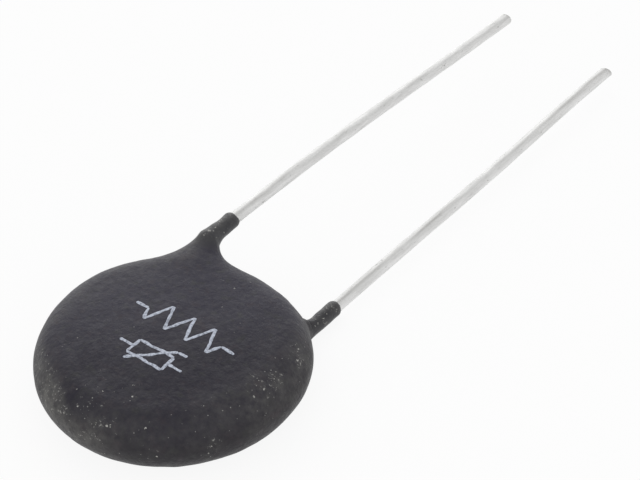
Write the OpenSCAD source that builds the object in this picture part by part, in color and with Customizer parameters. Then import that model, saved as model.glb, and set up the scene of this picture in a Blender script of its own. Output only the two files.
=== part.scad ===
// A disc thermistor: a ceramic disc with a wire soldered to each face, dipped in black resin.
// It lies on its lower face. X runs across the leads, Y along them to their tips, Z upwards.
// The origin is on the lower face, under the middle of the ceramic disc.
// One lead runs over the top of the disc, on the -X side. The other runs under it, on the +X side.

/* [Ceramic disc] */
// Diameter of the ceramic disc
ceramic_d = 14; // [13:0.5:20]
// Thickness of the ceramic disc
ceramic_t = 1.9; // [1.2:0.1:4]
// Bare ceramic left round the silver on each face
electrode_edge = 0.5; // [0.2:0.1:1]
// Thickness of the silver fired onto each face
electrode_t = 0.05; // [0.03:0.01:0.15]

/* [Leads] */
// Diameter of the tinned wire
wire_d = 0.8; // [0.5:0.05:1]
// Distance between the two wires where they leave the resin, as a share of the ceramic's diameter
pitch_share = 0.543; // [0.4:0.001:0.58]
// Sideways shift of the pair from the middle of the disc
lead_shift = 0.22; // [-0.4:0.02:0.4]
// Radius of the middle of the wire in a bend
bend_r = 0.8; // [0.6:0.1:1]
// Depth of the last bend inside the edge of the resin
bend_in = 0.95; // [0.8:0.05:1.2]
// Height that the top lead gains as it leaves the ceramic
top_rise = 0.98; // [0.5:0.02:1.1]
// Slope of the wire while it gains that height
rise_angle = 35; // [30:1:45]
// Slope of the top lead down towards its tip
top_dip_angle = 2.8; // [0:0.1:5]
// Slope of the bottom lead up towards its tip
bottom_dip_angle = 0.5; // [0.1:0.1:4]
// Turn of the top lead away from the bottom one, seen from above
splay_angle = 0.45; // [0:0.05:2]
// Bare wire of the top lead, from the resin to the tip
top_free = 29.25; // [5:0.25:40]
// Bare wire of the bottom lead, from the resin to the tip
bottom_free = 29.75; // [5:0.25:40]

/* [Solder] */
// Width of the solder along each wire
solder_w = 2.2; // [1.6:0.1:3]
// Solder between the silver and the wire
solder_under = 0.05; // [0.03:0.01:0.1]
// Solder over the back of the wire
solder_over = 0.08; // [0.05:0.01:0.12]
// Bare silver left past each end of the solder
solder_inset = 0.2; // [0:0.1:1]
// Wire that sticks out of the solder at its inner end
wire_stub = 0.5; // [0.2:0.1:1]

/* [Resin] */
// Resin over the wires on each face
cover_t = 0.225; // [0.15:0.025:0.6]
// How far the middle of the upper face stands over its edge
face_rise = 0.35; // [0:0.05:0.8]
// Resin beyond the edge of the ceramic
rim_t = 1.5; // [1.3:0.1:3]
// How much thinner the rim is between the leads, where the resin drained away
thin_depth = 0.73; // [0:0.01:0.9]
// Bearing of the thinnest place, in degrees from +Y towards the top lead
thin_angle = 10; // [-30:1:30]
// How far round the rim the thinning reaches to either side, in degrees
spread_angle = 78; // [50:1:90]
// Resin sleeve on each wire: its wall
sleeve_wall = 0.11; // [0.08:0.01:0.2]
// Reach of the top sleeve beyond the edge of the resin
top_sleeve = 1.76; // [1:0.02:4]
// Reach of the bottom sleeve beyond the edge of the resin
bottom_sleeve = 2.2; // [1:0.02:4]
// Width of the blend from the disc into the top sleeve
top_blend = 2.5; // [1:0.1:3]
// Width of the blend from the disc into the bottom sleeve
bottom_blend = 1.5; // [0.5:0.1:2]

/* [Hidden] */
$fn = 64;

// Which side of the disc a lead is on
top = 1;
bottom = -1;

// The stack through the disc, measured from its middle plane
silver_z = ceramic_t / 2 + electrode_t;
run_z = silver_z + solder_under + wire_d / 2;
half_t = run_z + wire_d / 2 + cover_t;
coat_r = ceramic_d / 2 + rim_t;
silver_r = ceramic_d / 2 - electrode_edge;
lead_pitch = ceramic_d * pitch_share;
solder_h = solder_under + wire_d + solder_over;
sleeve_r = wire_d / 2 + sleeve_wall;

function pick(side, over, under) = side == top ? over : under;
function rise(side) = pick(side, top_rise, 0);
function dip(side) = pick(side, top_dip_angle, bottom_dip_angle);
function splay(side) = pick(side, splay_angle, 0);
function free_len(side) = pick(side, top_free, bottom_free);
function blend_w(side) = pick(side, top_blend, bottom_blend);

// The root is where the straight outer run of a lead begins, inside the resin.
// The disc's middle is [0, 0, 0] here.
function lead_x(side) = lead_shift - side * lead_pitch / 2;
function root(side) = [lead_x(side), coat_r - bend_in, side * (run_z + rise(side))];
function heading(side) =
    [-sin(splay(side)) * cos(dip(side)), cos(splay(side)) * cos(dip(side)), -side * sin(dip(side))];
function sleeve_len(side) =
    (bend_in + pick(side, top_sleeve, bottom_sleeve)) / heading(side)[1];

// Solder reaches along the wire as far as the silver under its outer flank does
function solder_reach(side) =
    sqrt(pow(silver_r, 2) - pow(abs(lead_x(side)) + solder_w / 2, 2)) - solder_inset;

// Corners of a wire in its own upright plane: along it from the root, and away from the disc's middle plane
function wire_corners(side) =
    let (
        back = [-root(side)[1] - solder_reach(side) - wire_stub, run_z],
        foot = [-rise(side) / tan(rise_angle), run_z],
        knee = [0, run_z + rise(side)],
        reach = sleeve_len(side) + free_len(side),
        tip = knee + reach * [cos(dip(side)), -sin(dip(side))]
    )
    rise(side) > 0 ? [back, foot, knee, tip] : [back, knee, tip];

function slope(a, b) = atan2(b[1] - a[1], b[0] - a[0]);

// Angle between two bearings, from 0 to 180 degrees
function turn_between(a, b) = abs((a - b + 180 + 360) % 360 - 180);

// Radius of the resin's edge at a bearing in degrees from +X: a circle, drawn in smoothly between the leads
function edge_r(bearing) =
    let (away = turn_between(bearing, 90 + thin_angle))
    coat_r - (away < spread_angle ? thin_depth * pow(cos(90 * away / spread_angle), 2) : 0);

// Depth fields of the resin: negative inside, zero on the surface, in millimetres.
// The disc is a flat pill with a half round rim, and its upper face swells towards the middle.
function disc_field(p) =
    let (
        from_middle = norm([p[0], p[1]]),
        edge = edge_r(atan2(p[1], p[0])),
        swell = p[2] > 0 ? face_rise * max(1 - pow(from_middle / edge, 2), 0) : 0,
        height = max(abs(p[2]) - swell, 0),
        past = from_middle - edge + half_t
    )
    (past < 0 ? height : norm([past, height])) - half_t;

// A sleeve follows the outer run, has a round end, and dives to the middle of the disc behind the root
sleeve_dive = 2.6;
function sleeve_field(p, side) =
    let (
        from_root = p - root(side),
        along = from_root * heading(side),
        off = norm(from_root - along * heading(side)),
        past = max(along - sleeve_len(side) + sleeve_r, 0),
        outer = along < 0 ? norm(from_root) : norm([off, past]),
        dive = [0, -sleeve_dive, -root(side)[2]],
        share = min(max(from_root * dive / (dive * dive), 0), 1),
        inner = norm(from_root - share * dive)
    )
    min(outer, inner) - sleeve_r;

// Smooth union of two fields: where they come within w of each other the surface is filled out
function fillet(a, b, w) =
    let (near = max(w - abs(a - b), 0) / w)
    min(a, b) - near * near * w / 4;

function resin_field(p) =
    let (
        with_top = fillet(disc_field(p), sleeve_field(p, top), blend_w(top)),
        with_both = fillet(with_top, sleeve_field(p, bottom), blend_w(bottom))
    )
    max(with_both, -p[2] - half_t);

// Walks from p along dir by the depth that is left, until it stands on the surface
close_enough = 0.00001;
function skin_point(p, dir, left = 80) =
    let (depth = resin_field(p))
    abs(depth) < close_enough || left == 0 ? p : skin_point(p - depth * dir, dir, left - 1);

function unit(v) = v / norm(v);
function between(a, b, n) = [for (i = [0:n - 1]) a + (b - a) * i / n];

// The skin is a grid of rows round the disc and columns across its edge, with a square window at the mouth
// of each sleeve. window_n cells make a side of a window.
// A sleeve has as many sides as its window's outline has cells.
window_n = 8;
gap_n = 8;
rest_n = 46;
mouth_in = 0.6;
function mouth(side) = atan2(root(side)[1] - mouth_in, root(side)[0]);
function window_half(side) = (sleeve_r + blend_w(side) / 2) / edge_r(mouth(side)) * 180 / PI;
columns = concat(
    between(mouth(bottom) - window_half(bottom), mouth(bottom) + window_half(bottom), window_n),
    between(mouth(bottom) + window_half(bottom), mouth(top) - window_half(top), gap_n),
    between(mouth(top) - window_half(top), mouth(top) + window_half(top), window_n),
    between(mouth(top) + window_half(top), mouth(bottom) - window_half(bottom) + 360, rest_n)
);

// A row is a share of the flat face's radius, and an angle round the rim from 90 on top to -90 underneath.
// Each window has one row more than it has cells.
face_rows = [[0.3, 90], [0.55, 90], [0.7, 90]];
top_rows = concat([[0.8, 90], [0.9, 90]], [for (a = between(90, 20, window_n - 2)) [1, a]], [[1, 20]]);
middle_rows = [[1, 10]];
bottom_rows = concat([for (a = between(0, -90, window_n)) [1, a]], [[1, -90]]);
under_rows = [[0.85, -90], [0.65, -90], [0.4, -90]];
rows = concat(face_rows, top_rows, middle_rows, bottom_rows, under_rows);
col_n = len(columns);
row_n = len(rows);

// First column and first row of a window
function window_at(side) =
    pick(side, [window_n + gap_n, len(face_rows)], [0, len(concat(face_rows, top_rows, middle_rows))]);

function on_grid(row, bearing) =
    let (
        out = [cos(bearing), sin(bearing), 0],
        dir = cos(row[1]) * out + [0, 0, sin(row[1])],
        p = out * (edge_r(bearing) - half_t) * row[0] + half_t * dir
    )
    skin_point(p, dir);

function grid_points() = [for (row = rows) for (bearing = columns) on_grid(row, bearing)];
function at(r, c) = r * col_n + c % col_n;
function quad(a, b, c, d) = [[a, b, c], [a, c, d]];

function inside(side, r, c) =
    let (w = window_at(side))
    c >= w[0] && c < w[0] + window_n && r >= w[1] && r < w[1] + window_n;

function grid_faces() = [
    for (r = [0:row_n - 2]) for (c = [0:col_n - 1])
        if (!inside(top, r, c) && !inside(bottom, r, c))
            each quad(at(r, c), at(r, c + 1), at(r + 1, c + 1), at(r + 1, c))
];

// The last point of each pole's fan follows the grid's points
function pole_faces() = [
    for (c = [0:col_n - 1]) each [
        [row_n * col_n, at(0, c + 1), at(0, c)],
        [row_n * col_n + 1, at(row_n - 1, c), at(row_n - 1, c + 1)]
    ]
];

// Once round a window, from its corner on top at the low bearing
function window_ring(side) =
    let (w = window_at(side), c = w[0], r = w[1], n = window_n)
    concat(
        [for (i = [0:n - 1]) at(r, c + i)],
        [for (i = [0:n - 1]) at(r + i, c + n)],
        [for (i = [0:n - 1]) at(r + n, c + n - i)],
        [for (i = [0:n - 1]) at(r + n - i, c)]
    );

// Rings of a sleeve: root_n of them turn from the window's outline to circles square to the wire,
// straight_n run along it and tip_n close its round end
ring_n = 4 * window_n;
first_corner = 45;
root_n = 6;
straight_n = 3;
tip_n = 4;
sleeve_n = root_n + straight_n + tip_n;
start_share = 0.35;
root_clear = 1.6;
root_ease = 1.3;
function sleeve_rings(side, grid) =
    let (
        ring = window_ring(side),
        along = heading(side),
        across = unit(cross(along, [0, 0, 1])),
        up = cross(across, along),
        round_dirs = [
            for (k = [0:ring_n - 1])
                let (a = first_corner + 360 * k / ring_n)
                cos(a) * across + sin(a) * up
        ],
        start = root(side) + (1 - start_share) * [0, -sleeve_dive, -root(side)[2]],
        start_dirs = [for (k = ring) unit(grid[k] - start)],
        end = root(side) + along * (sleeve_len(side) - sleeve_r),
        clear = root(side) + along * min(root_clear, (sleeve_len(side) - sleeve_r) / 2),
        behind = norm(root(side) - start),
        ahead = norm(clear - root(side))
    )
    concat(
        [
            for (m = [1:root_n])
                let (
                    gone = (behind + ahead) * m / root_n,
                    inner = start + (root(side) - start) * min(gone / behind, 1),
                    from = inner + along * max(gone - behind, 0),
                    turned = pow(m / root_n, root_ease)
                )
                for (k = [0:ring_n - 1])
                    skin_point(from, unit(start_dirs[k] * (1 - turned) + round_dirs[k] * turned))
        ],
        [
            for (m = [1:straight_n])
                let (from = clear + (end - clear) * m / straight_n)
                for (dir = round_dirs) skin_point(from, dir)
        ],
        [
            for (m = [1:tip_n])
                let (a = 90 * m / (tip_n + 1))
                for (dir = round_dirs) skin_point(end, cos(a) * dir + sin(a) * along)
        ],
        [end + sleeve_r * along]
    );

function sleeve_faces(side, first) =
    let (
        ring = window_ring(side),
        point = function(m, k) m == 0 ? ring[k % ring_n] : first + (m - 1) * ring_n + k % ring_n,
        cap = first + sleeve_n * ring_n
    )
    concat(
        [for (m = [0:sleeve_n - 1]) for (k = [0:ring_n - 1])
            each quad(point(m, k), point(m, k + 1), point(m + 1, k + 1), point(m + 1, k))],
        [for (k = [0:ring_n - 1]) [cap, point(sleeve_n, k), point(sleeve_n, k + 1)]]
    );

module resin_skin() {
    grid = grid_points();
    poles = [[0, 0, half_t + face_rise], [0, 0, -half_t]];
    top_first = len(grid) + len(poles);
    bottom_first = top_first + sleeve_n * ring_n + 1;
    disc_faces = concat(grid_faces(), pole_faces());
    polyhedron(
        points = concat(grid, poles, sleeve_rings(top, grid), sleeve_rings(bottom, grid)),
        faces = concat(disc_faces, sleeve_faces(top, top_first), sleeve_faces(bottom, bottom_first))
    );
}

// Turns its children to the side of the disc that a lead is on
module facing(side) mirror([0, 0, side == top ? 0 : 1]) children();

module on_table() translate([0, 0, half_t]) children();

module ceramic() cylinder(d = ceramic_d, h = ceramic_t, center = true);

module silver(side) facing(side) translate([0, 0, ceramic_t / 2]) cylinder(r = silver_r, h = electrode_t);

// Straight runs of wire joined by bends, in the XZ plane, from the inner end along +X.
// Each bend turns all that follows it.
module bent_wire(runs, bends, i = 0) {
    rotate([0, 90, 0]) cylinder(d = wire_d, h = runs[i]);
    if (i < len(bends))
        translate([runs[i], 0, 0]) {
            centre = [0, 0, sign(bends[i]) * bend_r];
            mirror([0, 0, bends[i] > 0 ? 0 : 1])
                translate([0, 0, bend_r]) rotate([90, 0, 0]) rotate([0, 0, -90])
                rotate_extrude(angle = abs(bends[i])) translate([bend_r, 0]) circle(d = wire_d);
            translate(centre) rotate([0, -bends[i], 0]) translate(-centre) bent_wire(runs, bends, i + 1);
        }
}

module wire(side) {
    corners = wire_corners(side);
    last = len(corners) - 1;
    slopes = [for (i = [0:last - 1]) slope(corners[i], corners[i + 1])];
    bends = [for (i = [1:last - 1]) slopes[i] - slopes[i - 1]];
    cut = concat(0, [for (bend = bends) bend_r * tan(abs(bend) / 2)], 0);
    runs = [for (i = [0:last - 1]) norm(corners[i + 1] - corners[i]) - cut[i] - cut[i + 1]];
    facing(side) translate([lead_x(side), root(side)[1], 0]) rotate([0, 0, 90 + splay(side)])
        translate([corners[0][0], 0, corners[0][1]]) bent_wire(runs, bends);
}

// Solder is a long drop with round ends, cut flat where it wets the silver, with the wire through it
module drop(side) {
    round_r = (pow(solder_w / 2, 2) + pow(solder_h, 2)) / (2 * solder_h);
    half_l = solder_reach(side) - solder_w / 2;
    facing(side) translate([lead_x(side), 0, silver_z]) intersection() {
        translate([0, 0, solder_h - round_r]) {
            rotate([90, 0, 0]) cylinder(r = round_r, h = 2 * half_l, center = true);
            for (end = [-half_l, half_l]) translate([0, end, 0]) sphere(r = round_r);
        }
        translate([-solder_w, -silver_r, 0]) cube([2 * solder_w, 2 * silver_r, solder_h]);
    }
}

module solder(side) difference() {
    drop(side);
    wire(side);
}

module ceramic_disc() color("#4a4a48") on_table() ceramic();
module electrode_top() color("#d9dadb") on_table() silver(top);
module electrode_bottom() color("#d9dadb") on_table() silver(bottom);
module solder_top() color("#b9bcc0") on_table() solder(top);
module solder_bottom() color("#b9bcc0") on_table() solder(bottom);
module lead_top() color("#c9c9c7") on_table() wire(top);
module lead_bottom() color("#c9c9c7") on_table() wire(bottom);

module coating() color("#444448") on_table() difference() {
    resin_skin();
    ceramic();
    for (side = [top, bottom]) {
        silver(side);
        drop(side);
        wire(side);
    }
}

coating();
ceramic_disc();
electrode_top();
electrode_bottom();
solder_top();
solder_bottom();
lead_top();
lead_bottom();
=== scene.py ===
import math
import bpy
import numpy as np
from mathutils import Matrix


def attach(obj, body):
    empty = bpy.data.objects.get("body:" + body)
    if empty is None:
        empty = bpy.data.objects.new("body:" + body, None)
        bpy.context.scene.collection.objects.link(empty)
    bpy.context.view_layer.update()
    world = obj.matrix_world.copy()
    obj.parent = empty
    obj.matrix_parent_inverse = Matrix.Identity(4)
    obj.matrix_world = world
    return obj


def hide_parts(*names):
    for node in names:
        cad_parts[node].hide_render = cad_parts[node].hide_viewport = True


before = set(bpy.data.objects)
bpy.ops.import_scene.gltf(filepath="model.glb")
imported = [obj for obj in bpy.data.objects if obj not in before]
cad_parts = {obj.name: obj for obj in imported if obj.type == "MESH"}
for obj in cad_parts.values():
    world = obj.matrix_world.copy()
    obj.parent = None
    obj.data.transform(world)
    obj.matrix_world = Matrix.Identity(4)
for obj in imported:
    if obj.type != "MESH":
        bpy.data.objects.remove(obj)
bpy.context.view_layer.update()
print("frame loaded:", sorted(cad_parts))

mm = 0.001  # shapes are worked out in millimetres, with the table at z = 0


# small helpers

def sinDeg(angle):
    return np.sin(np.radians(angle))


def cosDeg(angle):
    return np.cos(np.radians(angle))


def lengthOf(v):
    return np.linalg.norm(v, axis=-1)


def unit(v):
    return v / np.maximum(lengthOf(v), 1e-12)[..., None]


def smoothStep(value, low, high):
    # 0 below low, 1 above high, and 3t^2 - 2t^3 between them
    t = np.clip((value - low) / (high - low), 0, 1)
    return t * t * (3 - 2 * t)


def ripple(points, wavelength, seed, waves=24, spread=(0.6, 1.7)):
    # a sum of plane sine waves in random directions, about 1 high, the same for a point of any piece
    rng = np.random.default_rng(seed)
    directions = unit(rng.normal(size=(waves, 3)))
    lengths = wavelength * rng.uniform(*spread, waves)
    phases = rng.uniform(0, 2 * math.pi, waves)
    turns = points @ (directions / lengths[:, None]).T * 2 * math.pi + phases
    return np.sin(turns).sum(-1) / math.sqrt(waves / 2)


def bump(points, centre, radius):
    # a bell of height 1 round a centre
    return np.exp(-(lengthOf(points - np.array(centre)) / radius) ** 2)


def bumps(points, spots):
    # the sum of such bells, each given as centre, radius and height
    return sum(height * bump(points, centre, radius) for centre, radius, height in spots)


def newObject(name, points, faces):
    mesh = bpy.data.meshes.new(name)
    mesh.from_pydata(points.tolist(), [], faces)
    thing = bpy.data.objects.new(name, mesh)
    bpy.context.scene.collection.objects.link(thing)
    return thing


def makePiece(name, points, faces, stands=(), attributes=None):
    # a smooth mesh from points in mm, which rides on the one body and stands for the named CAD nodes
    piece = newObject(name, points * mm, faces)
    mesh = piece.data
    mesh.update()
    mesh.polygons.foreach_set("use_smooth", np.ones(len(mesh.polygons), bool))
    for key, values in (attributes or {}).items():
        layer = mesh.attributes.new(key, "FLOAT", "POINT")
        layer.data.foreach_set("value", np.ascontiguousarray(values, np.float32))
    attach(piece, "root")
    if stands:
        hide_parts(*stands)
    return piece


def gridFaces(ids):
    # quads between the neighbours of a table of point numbers, whose rows close on themselves
    nextIds = np.roll(ids, -1, axis=1)
    return np.stack([ids[:-1], ids[1:], nextIds[1:], nextIds[:-1]], -1).reshape(-1, 4)


def fanFaces(pole, ring):
    # triangles from a pole to each side of a ring
    return np.stack([np.full(len(ring), pole), ring, np.roll(ring, -1)], -1)


# camera

camera = {
    "azimuth": 41.2464, "elevation": 40.0535, "roll": -3.3127,  # in degrees
    "distance": 150.0, "pixelsPerMm": 16.577,  # from the disc's middle in mm, and the scale there
    "column": 174.05, "row": 356.46,  # the pixel on which the disc's middle lies
    "imageWidth": 640, "imageHeight": 480, "midHeight": 2.075, "sensorWidth": 36.0,
    "nearest": 0.005, "farthest": 20,  # what is drawn, in m
}


def makeCamera(c):
    # looks along -back, from a point that puts the middle of the disc on the wanted pixel
    a, e, r = (math.radians(c[k]) for k in ("azimuth", "elevation", "roll"))
    back = np.array([math.sin(a) * math.cos(e), -math.cos(a) * math.cos(e), math.sin(e)])
    level = np.array([math.cos(a), math.sin(a), 0])
    upright = np.cross(back, level)
    right = math.cos(r) * level + math.sin(r) * upright
    up = -math.sin(r) * level + math.cos(r) * upright
    place = (c["distance"] * back - (c["column"] - c["imageWidth"] / 2) / c["pixelsPerMm"] * right
             + (c["row"] - c["imageHeight"] / 2) / c["pixelsPerMm"] * up + np.array([0, 0, c["midHeight"]]))
    data = bpy.data.cameras.new("camera")
    data.sensor_fit, data.sensor_width = "HORIZONTAL", c["sensorWidth"]
    data.lens = c["distance"] * c["pixelsPerMm"] * c["sensorWidth"] / c["imageWidth"]
    data.clip_start, data.clip_end = c["nearest"], c["farthest"]
    shot = bpy.data.objects.new("camera", data)
    turn = np.eye(4)
    turn[:3, :3] = np.stack([right, up, back], 1)
    turn[:3, 3] = place * mm
    shot.matrix_world = Matrix(turn.tolist())
    bpy.context.scene.collection.objects.link(shot)
    bpy.context.scene.camera = shot


makeCamera(camera)
print("camera set")

# sizes of the dipped disc and its leads

body = {
    "ceramicDiameter": 14.0, "ceramicThickness": 1.9, "silverThickness": 0.05, "solderUnder": 0.05,
    "wireDiameter": 0.8, "coverOverWire": 0.225, "rimResin": 1.5,
    "thinDepth": 0.73, "thinAngle": 10, "thinSpread": 78,  # the edge drawn in between the leads
    "pitchShare": 0.543, "pairShift": 0.22, "bendInside": 0.95, "bendRadius": 0.8, "sleeveWall": 0.11,
    "sleeveDive": 2.6, "innerEnd": 4.8, "faceRise": 0.35,
}
runHeight = (body["ceramicThickness"] / 2 + body["silverThickness"] + body["solderUnder"]
             + body["wireDiameter"] / 2)
halfThick = runHeight + body["wireDiameter"] / 2 + body["coverOverWire"]
coatRadius = body["ceramicDiameter"] / 2 + body["rimResin"]
wireRadius = body["wireDiameter"] / 2
sleeveRadius = wireRadius + body["sleeveWall"]

# bow: how far the bare wire strays up or down, its half waves, where in the wave it starts, and how it grows
# cut: how far the cut face leans back in mm, the side that stands out in degrees, and how much darker the
# wire is at its end
leads = {
    "top": {"side": 1, "rise": 0.98, "slope": 35, "dip": 2.8, "splay": 0.45, "sleeve": 1.76, "bare": 29.25,
            "blend": 2.5, "bow": (0.2, 1.35, 0.1, 0), "cut": (0.12, 0, 0.35)},
    "bottom": {"side": -1, "rise": 0.0, "slope": 35, "dip": 0.5, "splay": 0.0, "sleeve": 2.2, "bare": 29.75,
               "blend": 1.5, "bow": (0.13, 2.2, 0.55, 1), "cut": (0.3, -38, 0.6)},
}
for lead in leads.values():
    side, dip, splay = lead["side"], lead["dip"], lead["splay"]
    x = body["pairShift"] - side * body["ceramicDiameter"] * body["pitchShare"] / 2
    lead["root"] = np.array([x, coatRadius - body["bendInside"], side * (runHeight + lead["rise"])])
    ahead = cosDeg(dip) * np.array([-sinDeg(splay), cosDeg(splay), 0])
    lead["heading"] = ahead - side * sinDeg(dip) * np.array([0, 0, 1])
    lead["sleeveLength"] = (body["bendInside"] + lead["sleeve"]) / lead["heading"][1]
lift = np.array([0, 0, halfThick])  # from the disc's middle plane to the table


# depth of a point under the resin's skin

def edgeRadius(bearing):
    # a circle, drawn in by a squared cosine between the leads, where the resin ran off
    away = np.abs((bearing - 90 - body["thinAngle"] + 180) % 360 - 180)
    drawnIn = np.where(away < body["thinSpread"], cosDeg(90 * away / body["thinSpread"]) ** 2, 0)
    return coatRadius - body["thinDepth"] * drawnIn


def edgeBeside(p):
    # the edge's radius on the bearing of each point
    return edgeRadius(np.degrees(np.arctan2(p[..., 1], p[..., 0])))


def discDepth(p):
    # a flat pill: a slab inside its flat faces, a ring of round section past them;
    # the upper face swells towards the middle by a parabola that is zero at the edge
    edge = edgeBeside(p)
    fromMiddle = np.hypot(p[..., 0], p[..., 1])
    swell = np.where(p[..., 2] > 0, body["faceRise"] * np.maximum(1 - (fromMiddle / edge) ** 2, 0), 0)
    height = np.maximum(np.abs(p[..., 2]) - swell, 0)
    past = fromMiddle - edge + halfThick
    return np.where(past < 0, height, np.hypot(past, height)) - halfThick


def sleeveDepth(p, lead):
    # distance to the sleeve's axis, which ends in a ball outside and dives to the disc's middle inside
    fromRoot = p - lead["root"]
    along = fromRoot @ lead["heading"]
    off = lengthOf(fromRoot - along[..., None] * lead["heading"])
    past = np.maximum(along - lead["sleeveLength"] + sleeveRadius, 0)
    outer = np.where(along < 0, lengthOf(fromRoot), np.hypot(off, past))
    dive = np.array([0, -body["sleeveDive"], -lead["root"][2]])
    share = np.clip(fromRoot @ dive / (dive @ dive), 0, 1)
    return np.minimum(outer, lengthOf(fromRoot - share[..., None] * dive)) - sleeveRadius


def fillet(a, b, width):
    # the lesser of two depths, filled out by a parabola where they differ by less than width
    near = np.maximum(width - np.abs(a - b), 0) / width
    return np.minimum(a, b) - near * near * width / 4


def resinDepth(p):
    # the disc with a sleeve filleted to it for each lead, cut off by the plane of its flat underside
    depth = discDepth(p)
    for lead in leads.values():
        depth = fillet(depth, sleeveDepth(p, lead), lead["blend"])
    return np.maximum(depth, -p[..., 2] - halfThick)


def walkToSkin(start, direction, steps=70):
    # from each start along its direction, each time by the depth that is left
    start, direction = np.broadcast_arrays(start, direction)
    walked = np.zeros(start.shape[:-1])
    for _ in range(steps):
        walked = walked - resinDepth(start + walked[..., None] * direction)
    return start + walked[..., None] * direction


def skinNormal(p, step=0.002):
    # the slope of the depth, by differences to either side
    shifts = np.eye(3) * step
    return unit(np.stack([resinDepth(p + s) - resinDepth(p - s) for s in shifts], -1))


# the coat's surface

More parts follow.
